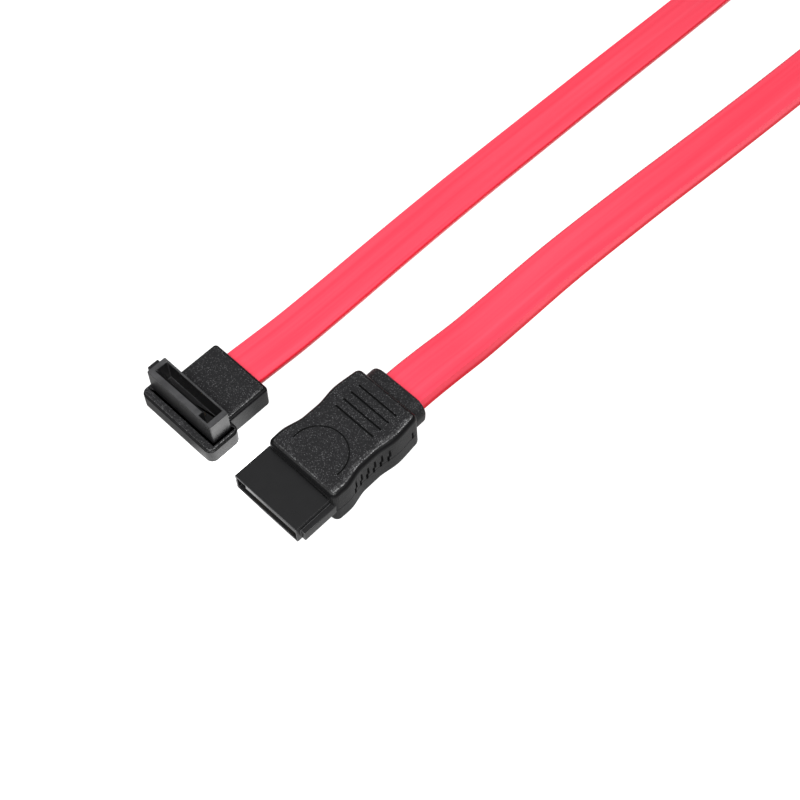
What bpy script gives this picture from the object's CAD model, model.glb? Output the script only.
import math

import bmesh
import bpy
from mathutils import Matrix, Vector


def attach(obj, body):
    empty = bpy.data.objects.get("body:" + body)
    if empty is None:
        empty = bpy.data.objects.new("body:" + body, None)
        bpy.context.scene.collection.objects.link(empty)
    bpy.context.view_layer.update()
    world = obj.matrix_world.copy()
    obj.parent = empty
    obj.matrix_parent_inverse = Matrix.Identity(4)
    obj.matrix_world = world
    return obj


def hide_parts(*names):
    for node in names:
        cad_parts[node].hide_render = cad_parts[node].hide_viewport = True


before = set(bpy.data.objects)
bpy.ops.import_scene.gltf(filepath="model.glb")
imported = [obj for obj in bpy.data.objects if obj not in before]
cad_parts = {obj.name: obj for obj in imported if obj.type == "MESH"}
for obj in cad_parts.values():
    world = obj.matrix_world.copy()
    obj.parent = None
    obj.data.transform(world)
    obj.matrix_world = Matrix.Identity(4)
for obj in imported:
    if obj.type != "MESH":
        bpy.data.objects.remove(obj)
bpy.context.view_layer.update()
mm = 0.001  # pieces are drawn in millimetres and put away in metres

# camera

print("camera")
cameraView = {
    "place": (73.98, -65.60, 179.34),
    "forward": (-0.3571, 0.3711, -0.8572),
    "right": (0.7206, 0.6934, 0.0),
    "lens": 63.0,
    "filmWidth": 36.0,
    "nearest": 10,
    "farthest": 20000,
}


def addCamera(view):
    data = bpy.data.cameras.new("camera")
    data.lens = view["lens"]
    data.sensor_width = view["filmWidth"]
    data.clip_start = view["nearest"] * mm
    data.clip_end = view["farthest"] * mm
    camera = bpy.data.objects.new("camera", data)
    back = -Vector(view["forward"]).normalized()
    right = Vector(view["right"]).normalized()
    turn = Matrix((right, back.cross(right), back)).transposed()
    camera.matrix_world = Matrix.Translation(Vector(view["place"]) * mm) @ turn.to_4x4()
    bpy.context.scene.collection.objects.link(camera)
    bpy.context.scene.camera = camera


addCamera(cameraView)

# shader tools


def addNode(tree, kind, **settings):
    node = tree.nodes.new(kind)
    for name, value in settings.items():
        if name in node.inputs:
            node.inputs[name].default_value = value
        else:
            setattr(node, name, value)
    return node


def plug(tree, value, socket):
    if isinstance(value, (int, float)):
        socket.default_value = value
    elif isinstance(value, tuple):
        socket.default_value = (*value, 1)
    else:
        tree.links.new(value, socket)


def calculate(tree, operation, first, second):
    node = addNode(tree, "ShaderNodeMath", operation=operation)
    plug(tree, first, node.inputs[0])
    plug(tree, second, node.inputs[1])
    return node.outputs[0]


def remap(tree, value, low, high, outLow, outHigh):
    node = addNode(tree, "ShaderNodeMapRange")
    limits = {"From Min": low, "From Max": high, "To Min": outLow, "To Max": outHigh}
    for name, number in limits.items():
        plug(tree, number, node.inputs[name])
    tree.links.new(value, node.inputs["Value"])
    return node.outputs["Result"]


def mixColours(tree, factor, first, second):
    node = addNode(tree, "ShaderNodeMix", data_type="RGBA")
    firstSlot, secondSlot = [slot for slot in node.inputs if slot.type == "RGBA"]
    plug(tree, factor, node.inputs[0])
    plug(tree, first, firstSlot)
    plug(tree, second, secondSlot)
    return next(slot for slot in node.outputs if slot.type == "RGBA")


def noiseOf(tree, place, scale, detail=2.0):
    node = addNode(tree, "ShaderNodeTexNoise", Detail=detail)
    tree.links.new(place, node.inputs["Vector"])
    plug(tree, scale, node.inputs["Scale"])
    return node.outputs["Fac"]


def objectPlace(tree):
    return addNode(tree, "ShaderNodeTexCoord").outputs["Object"]


def faceValue(tree, name):  # what the mesh's faces carry under that name, from 0 to 1
    return addNode(tree, "ShaderNodeAttribute", attribute_name=name).outputs["Fac"]


def newMaterial(name, **shader):
    material = bpy.data.materials.new(name)
    material.use_nodes = True
    body = material.node_tree.nodes["Principled BSDF"]
    for slot, value in shader.items():
        body.inputs[slot.replace("_", " ")].default_value = value
    return material, material.node_tree, body


def bumpInto(tree, body, height, distance, strength):
    bump = addNode(tree, "ShaderNodeBump", Strength=strength, Distance=distance * mm)
    tree.links.new(height, bump.inputs["Height"])
    tree.links.new(bump.outputs["Normal"], body.inputs["Normal"])


def newGroup(name, inputs, outputs):
    group = bpy.data.node_groups.new(name, "ShaderNodeTree")
    for label, start in inputs.items():
        socket = group.interface.new_socket(
            name=label, in_out="INPUT", socket_type="NodeSocketFloat"
        )
        socket.default_value = start
    for label in outputs:
        group.interface.new_socket(name=label, in_out="OUTPUT", socket_type="NodeSocketFloat")
    return group, addNode(group, "NodeGroupInput"), addNode(group, "NodeGroupOutput")


def useGroup(tree, group, values):
    node = addNode(tree, "ShaderNodeGroup", node_tree=group)
    for label, value in values.items():
        plug(tree, value, node.inputs[label])
    return node


# shared effects

print("shared effects")


def makeMouldGrain():  # the pitted skin that a spark-eroded mould leaves, and its bright grains
    skin = {
        "coarseScale": 0.4,
        "coarseShare": 0.5,
        "coarseDetail": 1.0,
        # a bright grain fades out between these distances from its cell's middle
        "brightTo": 0.12,
        "goneAt": 0.5,
    }
    group, given, out = newGroup(
        "mouldGrain", {"Grain per mm": 5.0, "Glints per mm": 4.0, "Share": 0.2}, ("Height", "Glint")
    )
    place = objectPlace(group)
    grainScale = calculate(group, "DIVIDE", given.outputs["Grain per mm"], mm)
    glintScale = calculate(group, "DIVIDE", given.outputs["Glints per mm"], mm)
    coarseScale = calculate(group, "MULTIPLY", grainScale, skin["coarseScale"])
    fine = noiseOf(group, place, grainScale)
    coarse = noiseOf(group, place, coarseScale, skin["coarseDetail"])
    coarse = calculate(group, "MULTIPLY", coarse, skin["coarseShare"])
    group.links.new(calculate(group, "ADD", fine, coarse), out.inputs["Height"])

    cells = addNode(group, "ShaderNodeTexVoronoi")
    group.links.new(place, cells.inputs["Vector"])
    group.links.new(glintScale, cells.inputs["Scale"])
    lot = addNode(group, "ShaderNodeSeparateColor")
    group.links.new(cells.outputs["Color"], lot.inputs["Color"])
    drawn = calculate(group, "LESS_THAN", lot.outputs["Red"], given.outputs["Share"])
    near = remap(group, cells.outputs["Distance"], skin["brightTo"], skin["goneAt"], 1.0, 0.0)
    size = calculate(group, "MULTIPLY", near, lot.outputs["Green"])
    group.links.new(calculate(group, "MULTIPLY", drawn, size), out.inputs["Glint"])
    return group


def makeHandling():  # faint smears and polished patches from fingers
    smears = {"detail": 4.0, "bare": 0.35, "covered": 0.7}
    group, given, out = newGroup("handling", {"Patches per mm": 0.25}, ("Mask",))
    scale = calculate(group, "DIVIDE", given.outputs["Patches per mm"], mm)
    patches = noiseOf(group, objectPlace(group), scale, smears["detail"])
    mask = remap(group, patches, smears["bare"], smears["covered"], 0.0, 1.0)
    group.links.new(mask, out.inputs["Mask"])
    return group


mouldGrain = makeMouldGrain()
handling = makeHandling()

# materials

print("materials")


def makeGrainyPlastic():
    look = {
        "grainy": (0.0125, 0.0125, 0.0135),
        "smooth": (0.005, 0.005, 0.0054),
        "glint": (0.17, 0.17, 0.175),
        "worn": (0.12, 0.12, 0.122),
        "wornGlint": (0.95, 0.95, 0.95),
        "fewGlints": 0.3,
        "manyGlints": 0.75,
        "wornGlints": 1.2,
        "specular": 0.24,
        "grainPerMm": 5.0,
        "glintsPerMm": 6.5,
        "patchesPerMm": 0.45,
        "wearBreaksPerMm": 1.6,
        "smoothRough": 0.34,
        "grainyRough": 0.52,
        "glintPolish": 0.15,
        "smoothHeight": 0.12,
        "grainDepth": 0.09,
        "bump": 1.0,
    }
    material, tree, body = newMaterial("grainyPlastic", Specular_IOR_Level=look["specular"])
    wear = faceValue(tree, "wear")
    grainy = faceValue(tree, "grain")
    patches = useGroup(tree, handling, {"Patches per mm": look["patchesPerMm"]}).outputs["Mask"]
    breaks = useGroup(tree, handling, {"Patches per mm": look["wearBreaksPerMm"]}).outputs["Mask"]
    worn = calculate(tree, "MULTIPLY", wear, breaks)
    share = remap(tree, patches, 0.0, 1.0, look["fewGlints"], look["manyGlints"])
    share = calculate(tree, "ADD", share, calculate(tree, "MULTIPLY", worn, look["wornGlints"]))
    grain = useGroup(tree, mouldGrain, {
        "Grain per mm": look["grainPerMm"], "Glints per mm": look["glintsPerMm"], "Share": share,
    })
    glint = calculate(tree, "MULTIPLY", grain.outputs["Glint"], grainy)
    skin = mixColours(tree, grainy, look["smooth"], look["grainy"])
    skin = mixColours(tree, worn, skin, look["worn"])
    spark = mixColours(tree, worn, look["glint"], look["wornGlint"])
    tree.links.new(mixColours(tree, glint, skin, spark), body.inputs["Base Color"])
    rough = remap(tree, grainy, 0.0, 1.0, look["smoothRough"], look["grainyRough"])
    polish = calculate(tree, "MULTIPLY", glint, look["glintPolish"])
    tree.links.new(calculate(tree, "SUBTRACT", rough, polish), body.inputs["Roughness"])
    height = remap(tree, grainy, 0.0, 1.0, look["smoothHeight"], 1.0)
    height = calculate(tree, "MULTIPLY", grain.outputs["Height"], height)
    bumpInto(tree, body, height, look["grainDepth"], look["bump"])
    return material


def makeSatinPlastic():
    look = {
        "body": (0.0105, 0.0105, 0.0112),
        "edge": (0.075, 0.075, 0.078),
        "specular": 0.46,
        "patchesPerMm": 0.5,
        "leastWear": 0.5,
        "rough": 0.33,
        "polished": 0.27,
        "grainPerMm": 9.0,
        "grainDepth": 0.012,
        "bump": 0.6,
    }
    material, tree, body = newMaterial("satinPlastic", Specular_IOR_Level=look["specular"])
    patches = useGroup(tree, handling, {"Patches per mm": look["patchesPerMm"]}).outputs["Mask"]
    rubbed = remap(tree, patches, 0.0, 1.0, look["leastWear"], 1.0)
    worn = calculate(tree, "MULTIPLY", faceValue(tree, "wear"), rubbed)
    tree.links.new(mixColours(tree, worn, look["body"], look["edge"]), body.inputs["Base Color"])
    rough = remap(tree, patches, 0.0, 1.0, look["rough"], look["polished"])
    tree.links.new(rough, body.inputs["Roughness"])
    grain = useGroup(tree, mouldGrain, {"Grain per mm": look["grainPerMm"]})
    bumpInto(tree, body, grain.outputs["Height"], look["grainDepth"], look["bump"])
    return material


cableHalfWidth = 3.85


def makeCoralJacket():
    look = {
        "body": (0.92, 0.058, 0.1),
        "pale": (0.95, 0.085, 0.132),  # in streaks
        "deep": (0.88, 0.05, 0.09),  # in clouds
        "side": (0.66, 0.008, 0.022),  # on the narrow sides and the lower corners
        "specular": 0.26,
        # marks of the die, drawn out along the cable: how much of each noise's range shows
        "streaks": {"perMetre": 900.0, "lengthwise": 0.02, "low": 0.35, "high": 0.7, "most": 1.0},
        "clouds": {"perMetre": 160.0, "lengthwise": 0.25, "low": 0.5, "high": 0.8, "most": 0.3},
        "markDetail": 3.0,
        # the side's colour begins and is full so far in from the edge, and further under it
        "sideBegins": 0.3,
        "sideFull": 0.1,
        "sideUnder": 0.4,
        "roughClouds": (0.3, 0.7),
        "roughness": (0.36, 0.46),
        "specksPerMetre": 4200.0,
        "speckHeight": 0.25,
        "markDepth": 0.02,
        "bump": 0.5,
    }
    material, tree, body = newMaterial("coralJacket", Specular_IOR_Level=look["specular"])
    along = addNode(tree, "ShaderNodeAttribute", attribute_name="alongCable").outputs["Vector"]

    def drawnOut(mark):
        stretch = addNode(tree, "ShaderNodeMapping")
        stretch.inputs["Scale"].default_value = (1.0, mark["lengthwise"], 1.0)
        tree.links.new(along, stretch.inputs["Vector"])
        return noiseOf(tree, stretch.outputs["Vector"], mark["perMetre"], look["markDetail"])

    def showing(noise, mark):
        return remap(tree, noise, mark["low"], mark["high"], 0.0, mark["most"])

    streaks, clouds = drawnOut(look["streaks"]), drawnOut(look["clouds"])
    specks = noiseOf(tree, along, look["specksPerMetre"])
    tint = mixColours(tree, showing(streaks, look["streaks"]), look["body"], look["pale"])
    tint = mixColours(tree, showing(clouds, look["clouds"]), tint, look["deep"])
    across = addNode(tree, "ShaderNodeSeparateXYZ")
    tree.links.new(along, across.inputs["Vector"])
    under = calculate(tree, "MULTIPLY", across.outputs["Z"], -look["sideUnder"])
    side = calculate(tree, "ABSOLUTE", across.outputs["X"], 0.0)
    side = calculate(tree, "ADD", side, calculate(tree, "MAXIMUM", under, 0.0))
    begins, full = cableHalfWidth - look["sideBegins"], cableHalfWidth - look["sideFull"]
    side = remap(tree, side, begins * mm, full * mm, 0.0, 1.0)
    tree.links.new(mixColours(tree, side, tint, look["side"]), body.inputs["Base Color"])
    rough = remap(tree, clouds, *look["roughClouds"], *look["roughness"])
    tree.links.new(rough, body.inputs["Roughness"])
    specks = calculate(tree, "MULTIPLY", specks, look["speckHeight"])
    bumpInto(tree, body, calculate(tree, "ADD", streaks, specks), look["markDepth"], look["bump"])
    return material


plainFinishes = {
    "contact": {"name": "goldContact", "colour": (0.78, 0.55, 0.22), "metallic": 1.0,
                "rough": 0.26, "grainPerMm": 12.0, "grainDepth": 0.004},
    "drain": {"name": "tinnedWire", "colour": (0.62, 0.63, 0.65), "metallic": 1.0,
              "rough": 0.32, "grainPerMm": 14.0, "grainDepth": 0.006},
    "core": {"name": "whiteCore", "colour": (0.78, 0.76, 0.71), "metallic": 0.0,
             "rough": 0.45, "grainPerMm": 8.0, "grainDepth": 0.006},
    "inner_mold": {"name": "naturalPlastic", "colour": (0.66, 0.62, 0.52), "metallic": 0.0,
                   "rough": 0.5, "grainPerMm": 6.0, "grainDepth": 0.015},
}
handled = {"perMm": 1.5, "darker": 0.7, "rougher": 0.12, "bump": 0.5}


def makePlainFinish(look):
    material, tree, body = newMaterial(look["name"], Metallic=look["metallic"])
    grain = useGroup(tree, mouldGrain, {"Grain per mm": look["grainPerMm"]})
    patches = useGroup(tree, handling, {"Patches per mm": handled["perMm"]}).outputs["Mask"]
    darker = tuple(handled["darker"] * channel for channel in look["colour"])
    tree.links.new(mixColours(tree, patches, look["colour"], darker), body.inputs["Base Color"])
    rough = remap(tree, patches, 0.0, 1.0, look["rough"], look["rough"] + handled["rougher"])
    tree.links.new(rough, body.inputs["Roughness"])
    bumpInto(tree, body, grain.outputs["Height"], look["grainDepth"], handled["bump"])
    return material


grainyPlastic = makeGrainyPlastic()
satinPlastic = makeSatinPlastic()
coralJacket = makeCoralJacket()
innerFinishes = {word: makePlainFinish(look) for word, look in plainFinishes.items()}

# shaping tools

over = 1.0  # how far a cutter stands past the face that it opens
# parallel is a share of an edge's length, the others are distances in mm
closeness = {"parallel": 0.98, "level": 1e-4, "merge": 1e-3, "slice": 1e-5}
edgeAngles = {"broken": 50, "shaded": 40}  # in degrees, between an edge's two faces
facing = {"level": 0.999, "wall": 0.3}  # the height of the normal on a flat top and on a wall


def edgesWhere(bm, test):
    return [edge for edge in bm.edges if test(edge)]


def runsAlong(edge, axis):
    reach = edge.verts[1].co - edge.verts[0].co
    return abs(reach[axis]) > closeness["parallel"] * reach.length


def liesAt(edge, axis, level):
    return all(abs(vert.co[axis] - level) < closeness["level"] for vert in edge.verts)


def sliceAt(bm, place, normal):
    bmesh.ops.bisect_plane(bm, geom=bm.verts[:] + bm.edges[:] + bm.faces[:],
                           dist=closeness["slice"], plane_co=place, plane_no=normal)


def finishLayer(bm, name):  # how much grain or wear each face has, from 0 to 1
    return bm.faces.layers.float.get(name) or bm.faces.layers.float.new(name)


def roundEdges(bm, edges, radius, steps, clamp=True):
    return bmesh.ops.bevel(bm, geom=edges, offset=radius, offset_type="OFFSET", affect="EDGES",
                           segments=steps, profile=0.5, material=-1, clamp_overlap=clamp)["faces"]


def blockFrom(low, high):
    low, high = Vector(low), Vector(high)
    bm = bmesh.new()
    place = Matrix.Translation((low + high) / 2) @ Matrix.Diagonal((*(high - low), 1))
    finishLayer(bm, "grain")
    finishLayer(bm, "wear")
    bmesh.ops.create_cube(bm, size=1, matrix=place)
    return bm


def roundedBlock(low, high, axis, corner, steps):
    bm = blockFrom(low, high)
    roundEdges(bm, edgesWhere(bm, lambda edge: runsAlong(edge, axis)), corner, steps)
    return bm


def holder(bm, name="scratch"):
    mesh = bpy.data.meshes.new(name)
    bmesh.ops.recalc_face_normals(bm, faces=bm.faces[:])
    bm.to_mesh(mesh)
    bm.free()
    thing = bpy.data.objects.new(name, mesh)
    bpy.context.scene.collection.objects.link(thing)
    return thing


def combine(stock, others, operation="DIFFERENCE"):
    base = holder(stock)
    tools = [holder(other) for other in others]
    for tool in tools:
        step = base.modifiers.new("step", "BOOLEAN")
        step.operation = operation
        step.solver = "EXACT"
        step.object = tool
    result = bmesh.new()
    shown = base.evaluated_get(bpy.context.evaluated_depsgraph_get())
    result.from_mesh(shown.to_mesh())
    shown.to_mesh_clear()
    for thing in [base, *tools]:
        mesh = thing.data
        bpy.data.objects.remove(thing)
        bpy.data.meshes.remove(mesh)
    return result


def breakSharpEdges(bm, radius, steps, wornShare, leave=lambda edge: False):
    bmesh.ops.remove_doubles(bm, verts=bm.verts[:], dist=closeness["merge"])
    least = math.radians(edgeAngles["broken"])
    sharp = edgesWhere(bm, lambda edge: edge.is_manifold and not leave(edge)
                       and edge.calc_face_angle(0) > least)
    wear = finishLayer(bm, "wear")
    for face in roundEdges(bm, sharp, radius, steps, clamp=False):
        face[wear] = wornShare


def putAway(bm, name, material, nodes):
    bmesh.ops.scale(bm, vec=(mm, mm, mm), verts=bm.verts[:])
    for face in bm.faces:
        face.smooth = True
    piece = holder(bm, name)
    piece.data.set_sharp_from_angle(angle=math.radians(edgeAngles["shaded"]))
    weighted = piece.modifiers.new("flatFaces", "WEIGHTED_NORMAL")
    weighted.keep_sharp = True
    piece.data.materials.append(material)
    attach(piece, "root")
    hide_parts(*nodes)
    print(name, len(piece.data.polygons), "faces")
    return piece


# cable

print("cable")
cableSizes = {
    "width": 2 * cableHalfWidth,
    "thickness": 2.2,
    "corner": 0.6,
    "ridge": 0.05,
    "ridgeWidth": 0.42,
    "cores": (-2.25, -1.2, 1.2, 2.25),
    "step": 1.6,
    "flatSteps": 30,
    "cornerSteps": 4,
    "length": 0.503,
    # x, y, z of its middle in metres and its roll in degrees, from plug to plug
    "route": (
        (-0.0205, -0.00455, 0.00205, 0), (-0.0205, -0.0024, 0.00205, 0), (-0.0205, 0.002, 0.00175, 0),
        (-0.0205, 0.008, 0.0013, 0), (-0.02055, 0.015, 0.00112, 0), (-0.0207, 0.03, 0.0011, 0),
        (-0.0207, 0.046, 0.0011, 0), (-0.0204, 0.064, 0.0011, 0), (-0.02, 0.084, 0.0011, 0),
        (-0.0195, 0.104, 0.0011, 0), (-0.0192, 0.12, 0.00125, 0), (-0.019, 0.134, 0.00315, 30),
        (-0.019, 0.146, 0.00395, 60), (-0.0194, 0.158, 0.0039, 90), (-0.0224, 0.17, 0.00387, 90),
        (-0.0283, 0.182, 0.00387, 90), (-0.0334, 0.193, 0.00387, 90), (-0.0352, 0.205, 0.00387, 90),
        (-0.0316, 0.2185, 0.00387, 90), (-0.0216, 0.2286, 0.00387, 90), (-0.0074, 0.2326, 0.00387, 90),
        (0.0068, 0.2286, 0.00387, 90), (0.0168, 0.2185, 0.00387, 90), (0.0204, 0.205, 0.00387, 90),
        (0.0188, 0.193, 0.00387, 90), (0.014, 0.182, 0.00387, 90), (0.0088, 0.17, 0.00387, 90),
        (0.0063, 0.158, 0.0039, 90), (0.0058, 0.146, 0.00395, 60), (0.0055, 0.134, 0.00315, 30),
        (0.005, 0.12, 0.00125, 0), (0.0042, 0.104, 0.0011, 0), (0.0029, 0.084, 0.0011, 0),
        (0.0014, 0.064, 0.0011, 0), (0.0004, 0.046, 0.0011, 0), (0.0002, 0.034, 0.00115, 0),
        (0.00025, 0.026, 0.00175, 0), (0.0003, 0.019, 0.00295, 0), (0.0003, 0.014, 0.00355, 0),
        (0.0003, 0.0046, 0.0036, 0),
    ),
}


def cableStations(sizes):  # the route at even steps, as (place in mm, roll in radians)
    stops = [Vector((x / mm, y / mm, z / mm, math.radians(roll)))
             for x, y, z, roll in sizes["route"]]
    spans = [(b.xyz - a.xyz).length for a, b in zip(stops, stops[1:])]
    slopes = [(stops[1] - stops[0]) / spans[0]]
    for i in range(1, len(stops) - 1):
        before = (stops[i] - stops[i - 1]) / spans[i - 1]
        after = (stops[i + 1] - stops[i]) / spans[i]
        slopes.append((before * spans[i] + after * spans[i - 1]) / (spans[i] + spans[i - 1]))
    slopes.append((stops[-1] - stops[-2]) / spans[-1])
    stations = []
    for i, span in enumerate(spans):
        count = max(2, round(span / sizes["step"]))
        for j in range(count):
            t = j / count
            stations.append(
                stops[i] * (2 * t**3 - 3 * t**2 + 1) + slopes[i] * span * (t**3 - 2 * t**2 + t)
                + stops[i + 1] * (3 * t**2 - 2 * t**3) + slopes[i + 1] * span * (t**3 - t**2)
            )
    return [*stations, stops[-1]]


def cableSection(sizes):  # half of it, then the other half: faint ridges stand over the cores
    halfWidth, halfHeight, corner = sizes["width"] / 2, sizes["thickness"] / 2, sizes["corner"]
    flat = halfWidth - corner
    half = []
    for i in range(sizes["flatSteps"] + 1):
        x = flat * (1 - 2 * i / sizes["flatSteps"])
        swell = sum(math.exp(-(((x - core) / sizes["ridgeWidth"]) ** 2)) for core in sizes["cores"])
        half.append((x, halfHeight - sizes["ridge"] * (1 - min(1.0, swell))))
    for i in range(1, sizes["cornerSteps"] + 1):
        turn = math.radians(90 * i / sizes["cornerSteps"])
        half.append((-flat - corner * math.sin(turn),
                     halfHeight - corner + corner * math.cos(turn)))
    return half + [(-x, -z) for x, z in half]


def makeCable(sizes):
    stations = cableStations(sizes)
    section = cableSection(sizes)
    bm = bmesh.new()
    along = bm.verts.layers.float_vector.new("alongCable")
    up = Vector((0, 0, 1))
    ring, run = [], 0.0
    for i, station in enumerate(stations):
        ahead = stations[min(i + 1, len(stations) - 1)].xyz - stations[max(i - 1, 0)].xyz
        ahead.normalize()
        side = up.cross(ahead).normalized()
        side.rotate(Matrix.Rotation(station.w, 3, ahead))
        normal = ahead.cross(side)
        run += (station.xyz - stations[max(i - 1, 0)].xyz).length
        before = ring
        ring = []
        for x, z in section:
            vert = bm.verts.new(station.xyz + side * x + normal * z)
            vert[along] = Vector((x, run, z)) * mm
            ring.append(vert)
        for a in range(len(section)) if before else ():
            b = (a + 1) % len(section)
            bm.faces.new((before[a], before[b], ring[b], ring[a]))
        if i in (0, len(stations) - 1):
            bm.faces.new(ring)
    cable = putAway(bm, "cable", coralJacket, ["cable_jacket"])


makeCable(cableSizes)

# noses: drawn with +Z the way the nose points, -Y its thick wall and +X its key

noseSizes = {
    "thickness": 3.5,
    "thinWall": 0.35,
    "corner": 0.25,
    "slotHeight": 1.8,
    "slotLength": 11.8,
    "keyWidth": 1.85,
    "keyDepth": 1.05,
    "ribOut": 0.9,
    "ribThickness": 2.0,
    "ribSetback": 0.7,
    "ribCorner": 0.15,
    "mouthBevel": 0.35,
    "mouthSplay": 2,  # times as wide as deep, on the thick wall
    "contacts": 7,
    "contactRow": -0.6,
    "contactPitch": 1.27,
    "channelWidth": 0.7,
    "channelDepth": 0.65,
    "channelSetback": 0.6,
    "channelOverlap": 0.1,
    "rootWidth": 11.0,
    "rimDepth": 0.01,
    "rimWear": 1.0,
    "edge": 0.1,
    "edgeWear": 0.6,
}
straightNoseSizes = {"width": 12.6, "length": 6.4, "seated": 0.4, "root": 3.0, "slotDepth": 5.8}
angledNoseSizes = {"width": 13.7, "length": 4.4, "seated": 0.25, "root": 2.05, "slotDepth": 3.9}


def makeNose(own, shared):
    half, length, seated = own["width"] / 2, own["length"], own["seated"]
    thick = shared["thickness"] / 2
    slotBack = thick - shared["thinWall"]
    slotFront = slotBack - shared["slotHeight"]
    halfSlot = shared["slotLength"] / 2
    floor = length - own["slotDepth"]
    ribEdge, ribHalf = half + shared["ribOut"], shared["ribThickness"] / 2
    rootHalf = shared["rootWidth"] / 2
    nose = roundedBlock((-half, -thick, -seated), (half, thick, length), 2, shared["corner"], 3)
    rib = roundedBlock((-ribEdge, -ribHalf, -seated),
                       (-half + over, ribHalf, length - shared["ribSetback"]),
                       2, shared["ribCorner"], 2)
    root = blockFrom((-rootHalf, -thick, -own["root"]), (rootHalf, thick, 0))
    whole = combine(nose, [rib, root], "UNION")

    slot = blockFrom((-halfSlot, slotFront, floor), (halfSlot, slotBack, length + over))
    key = blockFrom((halfSlot - shared["keyWidth"], slotFront - shared["keyDepth"], floor),
                    (halfSlot, slotBack, length + over))
    bevel = shared["mouthBevel"]
    mouth = blockFrom((-halfSlot, slotFront, length - bevel), (halfSlot, slotBack, length + bevel))
    for vert in mouth.verts:
        if vert.co.z > length:
            vert.co.y -= shared["mouthSplay"] * bevel if vert.co.y < 0 else 0
            vert.co.x -= bevel if vert.co.x < 0 else 0
    channels = []
    outermost = shared["contacts"] // 2
    for i in range(-outermost, outermost + 1):
        x = shared["contactRow"] + shared["contactPitch"] * i
        channels.append(blockFrom(
            (x - shared["channelWidth"] / 2, slotFront - shared["channelDepth"], floor - over),
            (x + shared["channelWidth"] / 2, slotFront + shared["channelOverlap"],
             length - shared["channelSetback"]),
        ))
    whole = combine(whole, [slot, key, mouth, *channels])

    whole.normal_update()
    wear = finishLayer(whole, "wear")
    for face in whole.faces:
        onRim = face.calc_center_median().z > length - shared["rimDepth"]
        if onRim and face.normal.z > facing["level"]:
            face[wear] = shared["rimWear"]
    breakSharpEdges(whole, shared["edge"], 2, shared["edgeWear"])
    return whole


print("noses")
bodyFront, bodyMiddle = -8.9, 3.6
noseShift = -0.45
layStraight = Matrix((
    (-1, 0, 0, noseShift), (0, 0, -1, bodyFront), (0, -1, 0, bodyMiddle), (0, 0, 0, 1),
))
angledSpot = Vector((-20.5, -11.5, 0))
baseTop = 3.2

straightNose = makeNose(straightNoseSizes, noseSizes)
bmesh.ops.transform(straightNose, matrix=layStraight, verts=straightNose.verts[:])
putAway(straightNose, "straightNose", satinPlastic, ["straight_housing"])

angledNose = makeNose(angledNoseSizes, noseSizes)
upright = angledSpot + Vector((0, 0, baseTop))
bmesh.ops.translate(angledNose, vec=upright, verts=angledNose.verts[:])
putAway(angledNose, "angledNose", satinPlastic, ["angled_housing"])

# straight plug's grip

print("straight grip")
gripSizes = {
    "length": 17.8,
    "height": 7.2,
    "corner": 1.0,
    "edge": 0.8,
    "rubbed": 0.6,
    "lean": 0.45,
    "rows": 36,
    "parting": 3.2,
    "partingGap": 0.1,
    "partingDepth": 0.12,
    # from the front face back, and half the width there
    "waist": ((0, 7.1), (2.6, 7.15), (6.6, 6.42), (9.2, 6.4), (13.0, 6.84), (17.8, 6.48)),
    "collar": {"length": 2.4, "width": 10.8, "height": 5.4, "corner": 2.2, "edge": 0.45},
    "collarGrain": {"most": 0.9, "rise": 2},
    "ring": {"radius": 4.4, "centre": 3.6, "width": 0.22, "depth": 0.25, "turn": 195, "steps": 48},
    "grooves": {
        "count": 4, "first": 10.8, "pitch": 1.57, "length": 7.6, "width": 0.3, "depth": 0.4,
    },
    "notches": {
        "count": 6, "first": 4.5, "pitch": 1.37, "width": 0.34, "depth": 0.4,
        # each notch is two slits out of line: how far off, and from what height to what height
        "halves": ((0.16, 3.9, 5.5), (-0.16, 2.9, 4.25)),
        "rear": (16.3, 3.0, 4.5),
    },
    "fit": 0.08,
    "noseSeat": 0.5,
    # two corners of each space inside, the second number from the front face back
    "rootRoom": ((-6.25, 0, 1.55), (5.35, 3.3, 5.65)),
    "wireRoom": ((-5.6, 3, 1.8), (5.6, 13.8, 5.4)),
    "bore": {"shift": 0.3, "front": 13.5, "back": 22},
    # edges this close to the parting line, or to the top, stay sharp
    "crisp": {"parting": 0.3, "top": 0.4},
    "broken": 0.07,
}
# the full grain goes so deep from the top, and the walls have this share of it
grained = {"skinDepth": 0.04, "walls": 0.2}
# how pale the rubbed places are: the strip along a top's edge toward +X, then the rounding of
# a top's edge, all round it and as much more where it faces +X or -Y
rubbing = {"strip": 0.35, "rounding": 0.15, "right": 0.85, "front": 0.25}


def eased(t):
    return t * t * (3 - 2 * t)


def halfWidthAt(back, waist):
    for (start, first), (end, second) in zip(waist, waist[1:]):
        if back <= end:
            return first + (second - first) * eased(max(0.0, (back - start) / (end - start)))
    return waist[-1][1]


def rubBorder(bm, top, inner):  # the grain along the top's edge toward +X is rubbed pale
    sliceAt(bm, (inner, 0, 0), (1, 0, 0))
    bm.normal_update()
    wear = finishLayer(bm, "wear")
    for face in bm.faces:
        middle = face.calc_center_median()
        onTop = face.normal.z > facing["level"] and abs(middle.z - top) < closeness["merge"]
        if onTop and middle.x > inner:
            face[wear] = rubbing["strip"]


def rubbedTowards(normal):
    sideways = Vector((normal.x, normal.y)).normalized()
    right, front = max(0.0, sideways.x), max(0.0, -sideways.y)
    return rubbing["rounding"] + rubbing["right"] * right + rubbing["front"] * front


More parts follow.
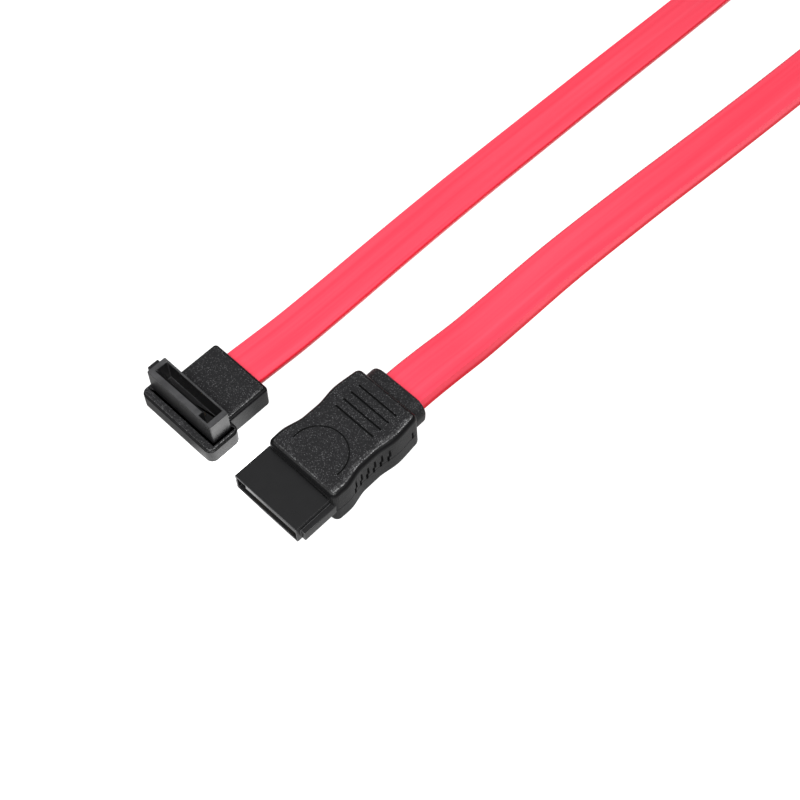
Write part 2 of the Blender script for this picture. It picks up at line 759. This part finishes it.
def textureTop(bm, top):  # the full grain is on the top only, and its rounding is rubbed pale
    bm.normal_update()
    grain, wear = finishLayer(bm, "grain"), finishLayer(bm, "wear")
    for face in bm.faces:
        onTop = top - face.calc_center_median().z < grained["skinDepth"]
        onWall = abs(face.normal.z) < facing["wall"]
        face[grain] = 1.0 if onTop else grained["walls"] if onWall else 0.0
        if onTop and face.normal.z < facing["level"]:
            face[wear] = rubbedTowards(face.normal)


def makeGrip(sizes):
    front, rear, top = bodyFront, bodyFront + sizes["length"], sizes["height"]
    widest = sizes["waist"][0][1]
    bm = roundedBlock((-widest, front, 0), (widest, rear, top), 2, sizes["corner"], 6)
    rims = edgesWhere(bm, lambda edge: liesAt(edge, 2, 0) or liesAt(edge, 2, top))
    roundEdges(bm, rims, sizes["edge"], 6)
    rubBorder(bm, top, widest - sizes["edge"] - sizes["rubbed"])
    rows = sizes["rows"]
    for i in range(1, rows):
        sliceAt(bm, (0, front + sizes["length"] * i / rows, 0), (0, 1, 0))
    for vert in bm.verts:
        half = halfWidthAt(vert.co.y - front, sizes["waist"]) - sizes["lean"] * vert.co.z / top
        vert.co.x *= half / widest
    textureTop(bm, top)

    gap = sizes["partingGap"]
    for level in (-1, 1):
        sliceAt(bm, (0, 0, sizes["parting"] + level * gap / 2), (0, 0, 1))
    line = [face for face in bm.faces
            if abs(face.calc_center_median().z - sizes["parting"]) < gap / 2]
    bmesh.ops.inset_region(bm, faces=line, thickness=0.0, depth=-sizes["partingDepth"],
                           use_even_offset=True, use_boundary=True)

    bm = combine(bm, [makeCollar(sizes["collar"], rear, sizes["collarGrain"])], "UNION")
    cuts = [*noseSocket(sizes, front), *topMarks(sizes, front, top), *sideNotches(sizes, front)]
    return combine(bm, cuts)


def makeCollar(collar, rear, spread):
    end = rear + collar["length"]
    halfWidth, halfHeight = collar["width"] / 2, collar["height"] / 2
    sleeve = roundedBlock((-halfWidth, rear - over, bodyMiddle - halfHeight),
                          (halfWidth, end, bodyMiddle + halfHeight), 1, collar["corner"], 8)
    roundEdges(sleeve, edgesWhere(sleeve, lambda edge: liesAt(edge, 1, end)), collar["edge"], 4)
    sleeve.normal_update()
    grain = finishLayer(sleeve, "grain")
    for face in sleeve.faces:
        face[grain] = max(0.0, min(spread["most"], spread["rise"] * face.normal.z))
    return sleeve


def noseSocket(sizes, front):
    width, height, fit = straightNoseSizes["width"], noseSizes["thickness"], sizes["fit"]
    bore = sizes["bore"]
    cable = Vector((cableSizes["width"] / 2 + fit, cableSizes["thickness"] / 2 + fit))
    rooms = [
        blockFrom(*((x, front + back, z) for x, back, z in corners))
        for corners in (sizes["rootRoom"], sizes["wireRoom"])
    ]
    return [
        blockFrom(
            (noseShift - width / 2 - fit, front - over, bodyMiddle - height / 2 - fit),
            (noseShift + width / 2 + fit, front + sizes["noseSeat"], bodyMiddle + height / 2 + fit),
        ),
        *rooms,
        roundedBlock(
            (bore["shift"] - cable.x, front + bore["front"], bodyMiddle - cable.y),
            (bore["shift"] + cable.x, front + bore["back"], bodyMiddle + cable.y),
            1, cableSizes["corner"], 4,
        ),
    ]


def topMarks(sizes, front, top):
    ring, grooves = sizes["ring"], sizes["grooves"]
    bm = bmesh.new()
    finishLayer(bm, "grain")
    finishLayer(bm, "wear")
    turned = math.radians(ring["turn"])
    inner, outer = ring["radius"] - ring["width"] / 2, ring["radius"] + ring["width"] / 2
    corners = [(inner, -ring["depth"]), (outer, -ring["depth"]), (outer, over), (inner, over)]
    verts = [bm.verts.new((x, 0, z)) for x, z in corners]
    for first, second in zip(verts, [*verts[1:], verts[0]]):
        bm.edges.new((first, second))
    begin = Matrix.Rotation(math.radians(90) - turned / 2, 3, "Z")
    bmesh.ops.rotate(bm, matrix=begin, verts=bm.verts[:])
    bmesh.ops.spin(bm, geom=bm.verts[:] + bm.edges[:], cent=(0, 0, 0), axis=(0, 0, 1),
                   angle=turned, steps=ring["steps"], use_merge=False)
    ends = edgesWhere(bm, lambda edge: edge.is_boundary)
    bmesh.ops.holes_fill(bm, edges=ends, sides=len(corners))
    bmesh.ops.translate(bm, vec=(0, front + ring["centre"], top), verts=bm.verts[:])
    marks = [bm]
    for i in range(grooves["count"]):
        y = front + grooves["first"] + i * grooves["pitch"]
        marks.append(roundedBlock(
            (-grooves["length"] / 2, y - grooves["width"] / 2, top - grooves["depth"]),
            (grooves["length"] / 2, y + grooves["width"] / 2, top + over),
            2, grooves["width"] / 2, 2,
        ))
    return marks


def sideNotches(sizes, front):
    notches = sizes["notches"]
    cuts = []
    slits = [(notches["first"] + i * notches["pitch"] + shift, low, high)
             for i in range(notches["count"]) for shift, low, high in notches["halves"]]
    for back, low, high in [*slits, notches["rear"]]:
        half = halfWidthAt(back, sizes["waist"]) - sizes["lean"] * low / sizes["height"]
        for side in (-1, 1):
            near, far = side * (half - notches["depth"]), side * (half + over)
            cuts.append(blockFrom((min(near, far), front + back - notches["width"] / 2, low),
                                  (max(near, far), front + back + notches["width"] / 2, high)))
    return cuts


def isFineLine(edge):  # the parting line and the marks on the top stay crisp
    crisp, parting = gripSizes["crisp"], gripSizes["parting"]
    topMark = gripSizes["height"] - crisp["top"]
    return (all(abs(vert.co.z - parting) < crisp["parting"] for vert in edge.verts)
            or all(vert.co.z > topMark for vert in edge.verts))


grip = makeGrip(gripSizes)
breakSharpEdges(grip, gripSizes["broken"], 1, 0.0, leave=isFineLine)
putAway(grip, "straightGrip", grainyPlastic, ["straight_overmold"])

# right-angle plug's grip

print("angled grip")
angledGripSizes = {
    # front and back are from the nose's middle
    "base": {
        "half": 7.7, "front": -3.35, "back": 2.6, "height": baseTop, "corner": 1.2, "shift": 0.1,
        "foot": 0.0, "inset": 0.3, "edge": 0.22, "rubbed": 0,
    },
    "block": {
        "half": 5.75, "front": 1.75, "back": 9.8, "height": 4.5, "corner": 0.6, "shift": 0.5,
        "foot": 0.04, "inset": 0.45, "edge": 0.38, "rubbed": 0.4,
    },
    "panel": {"rise": 0.3, "edge": 0.12, "corner": 0.6},  # its corner as a share of the slab's
    "fit": 0.08,
    "noseGap": 0.3,
    "noseSeat": 0.7,
    "ditch": {"width": 0.28, "depth": 0.25},
    # the room for the nose's root, up into its seat, and two corners of the wires' room
    "rootRoom": {"half": (5.8, 2.05), "floor": 0.85, "overlap": 0.1},
    "wireRoom": ((-4.91, 0, 0.75), (4.05, 7.2, 3.1)),
    "bore": {"front": 6.9, "height": 2.05},
    "broken": 0.06,
    "brokenWear": 0.1,
}


def steppedSlab(slab, raised):  # a slab with a smaller panel raised on its top, which has the grain
    shoulder, top = slab["height"] - raised["rise"], slab["height"]
    low, high = slab["shift"] - slab["half"], slab["shift"] + slab["half"]
    inset, foot = slab["inset"], slab["foot"]
    body = roundedBlock((low, slab["front"], foot), (high, slab["back"], shoulder),
                        2, slab["corner"], 6)
    rims = edgesWhere(body, lambda edge: liesAt(edge, 2, shoulder) or liesAt(edge, 2, foot))
    roundEdges(body, rims, slab["edge"], 3)
    panel = roundedBlock((low + inset, slab["front"] + inset, shoulder - over),
                         (high - inset, slab["back"] - inset, top),
                         2, slab["corner"] * raised["corner"], 4)
    roundEdges(panel, edgesWhere(panel, lambda edge: liesAt(edge, 2, top)), raised["edge"], 2)
    if slab["rubbed"]:
        rubBorder(panel, top, high - inset - slab["rubbed"])
    for part in (body, panel):
        part.normal_update()
        grain, wear = finishLayer(part, "grain"), finishLayer(part, "wear")
        for face in part.faces:
            face[grain] = grained["walls"] if abs(face.normal.z) < facing["wall"] else 0.0
            if part is panel and face.normal.z > facing["wall"]:
                face[grain] = 1.0
                if face.normal.z < facing["level"]:
                    face[wear] = rubbedTowards(face.normal)
    return combine(body, [panel], "UNION")


def makeAngledGrip(sizes):
    halfWidth, halfDepth = angledNoseSizes["width"] / 2, noseSizes["thickness"] / 2
    seat, above = baseTop - sizes["noseSeat"], sizes["block"]["height"] + over

    def aroundNose(gap, bottom):
        return blockFrom((-halfWidth - gap, -halfDepth - gap, bottom),
                         (halfWidth + gap, halfDepth + gap, above))

    block = steppedSlab(sizes["block"], sizes["panel"])
    block = combine(block, [aroundNose(sizes["noseGap"], seat)])
    whole = combine(steppedSlab(sizes["base"], sizes["panel"]), [block], "UNION")
    ditch, rootRoom, bore, fit = sizes["ditch"], sizes["rootRoom"], sizes["bore"], sizes["fit"]
    boreHalf, boreRise = cableSizes["width"] / 2 + fit, cableSizes["thickness"] / 2 + fit
    x, y = rootRoom["half"]
    for cut in (
        aroundNose(fit, seat),
        aroundNose(ditch["width"], baseTop - ditch["depth"]),
        blockFrom((-x, -y, rootRoom["floor"]), (x, y, seat + rootRoom["overlap"])),
        blockFrom(*sizes["wireRoom"]),
        roundedBlock((-boreHalf, bore["front"], bore["height"] - boreRise),
                     (boreHalf, sizes["block"]["back"] + over, bore["height"] + boreRise),
                     1, cableSizes["corner"], 4),
    ):
        whole = combine(whole, [cut])
    return whole


angledGrip = makeAngledGrip(angledGripSizes)
breakSharpEdges(angledGrip, angledGripSizes["broken"], 1, angledGripSizes["brokenWear"])
bmesh.ops.translate(angledGrip, vec=angledSpot, verts=angledGrip.verts[:])
putAway(angledGrip, "angledGrip", grainyPlastic, ["angled_overmold"])

# pieces that stay as the frame has them

for name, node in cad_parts.items():
    for word, finish in innerFinishes.items():
        if f"_{word}" in name:
            node.data.materials.clear()
            node.data.materials.append(finish)

# floor and light

print("floor and light")
studio = {
    "floor": {
        "half": 1500, "drop": 0.2, "colour": (0.3, 0.3, 0.3), "rough": 0.9, "specular": 0.1,
        "mottlePerMetre": 3.0, "mottle": 0.985,
    },
    "backdrop": 0.95,  # what the camera sees of the floor and the sky
    # what the floor gives the object instead, at places along X + Y in mm
    "bounce": ((-34, 0.1), (-26, 0.3), (30, 0.25), (60, 0.05)),
    # more of it: a pool beside the upright nose, and a part beside the cable, along Y - X
    "pool": {"centre": (-9.5, -12.0, 0.0), "near": 3, "far": 9, "strength": 2.2},
    "cableSide": {"near": 18, "far": 34, "strength": 0.6},
    # the sky's strength at two heights of the direction looked in
    "skyHeights": (0.35, 0.8),
    "skyStrengths": (0.05, 0.32),
    "lamps": (
        # place, size and power of each soft box, all aimed at the plugs
        ((210, -110, 420), 240, 2.2),
        ((-40, -280, 420), 300, 1.2),
    ),
}


def orBackdrop(tree, strength):  # the camera sees the backdrop, other rays this strength
    seen = addNode(tree, "ShaderNodeLightPath").outputs["Is Camera Ray"]
    backdrop = calculate(tree, "MULTIPLY", seen, studio["backdrop"])
    return calculate(tree, "MAXIMUM", strength, backdrop)


def floorBounce(tree):
    spot = objectPlace(tree)
    place = addNode(tree, "ShaderNodeSeparateXYZ")
    tree.links.new(spot, place.inputs["Vector"])
    across = calculate(tree, "ADD", place.outputs["X"], place.outputs["Y"])
    stops = studio["bounce"]
    glow = stops[0][1]
    for (near, first), (far, second) in zip(stops, stops[1:]):
        change = remap(tree, across, near * mm, far * mm, 0.0, second - first)
        glow = calculate(tree, "ADD", change, glow)
    pool = studio["pool"]
    away = addNode(tree, "ShaderNodeVectorMath", operation="DISTANCE")
    tree.links.new(spot, away.inputs[0])
    away.inputs[1].default_value = Vector(pool["centre"]) * mm
    near, far = pool["near"] * mm, pool["far"] * mm
    shine = remap(tree, away.outputs["Value"], near, far, pool["strength"], 0.0)
    glow = calculate(tree, "ADD", shine, glow)
    beside = studio["cableSide"]
    behind = calculate(tree, "SUBTRACT", place.outputs["Y"], place.outputs["X"])
    near, far = beside["near"] * mm, beside["far"] * mm
    shine = remap(tree, behind, near, far, 0.0, beside["strength"])
    return calculate(tree, "ADD", shine, glow)


def addFloor():
    look = studio["floor"]
    bm = bmesh.new()
    bmesh.ops.create_grid(bm, x_segments=1, y_segments=1, size=look["half"] * mm)
    bmesh.ops.translate(bm, vec=(0, 0, -look["drop"] * mm), verts=bm.verts[:])
    floor = holder(bm, "floor")
    material, tree, body = newMaterial(
        "paperFloor", Roughness=look["rough"], Specular_IOR_Level=look["specular"]
    )
    mottle = noiseOf(tree, objectPlace(tree), look["mottlePerMetre"])
    dim = tuple(look["mottle"] * channel for channel in look["colour"])
    tree.links.new(mixColours(tree, mottle, look["colour"], dim), body.inputs["Base Color"])
    body.inputs["Emission Color"].default_value = (1, 1, 1, 1)
    tree.links.new(orBackdrop(tree, floorBounce(tree)), body.inputs["Emission Strength"])
    floor.data.materials.append(material)


def addLamps():
    for i, (place, size, power) in enumerate(studio["lamps"]):
        data = bpy.data.lights.new(f"softBox{i + 1}", "AREA")
        data.energy = power
        data.size = size * mm
        lamp = bpy.data.objects.new(data.name, data)
        away = Vector(place) * mm
        turn = away.to_track_quat("Z", "Y").to_matrix()
        lamp.matrix_world = Matrix.Translation(away) @ turn.to_4x4()
        bpy.context.scene.collection.objects.link(lamp)


def lightWorld():
    world = bpy.data.worlds.new("studio")
    world.use_nodes = True
    tree = world.node_tree
    sky = tree.nodes["Background"]
    sky.inputs["Color"].default_value = (1, 1, 1, 1)
    toward = addNode(tree, "ShaderNodeSeparateXYZ")
    direction = addNode(tree, "ShaderNodeTexCoord").outputs["Generated"]
    tree.links.new(direction, toward.inputs["Vector"])
    strength = remap(tree, toward.outputs["Z"], *studio["skyHeights"], *studio["skyStrengths"])
    tree.links.new(orBackdrop(tree, strength), sky.inputs["Strength"])
    bpy.context.scene.world = world


addFloor()
addLamps()
lightWorld()
bpy.context.scene.view_settings.view_transform = "Standard"
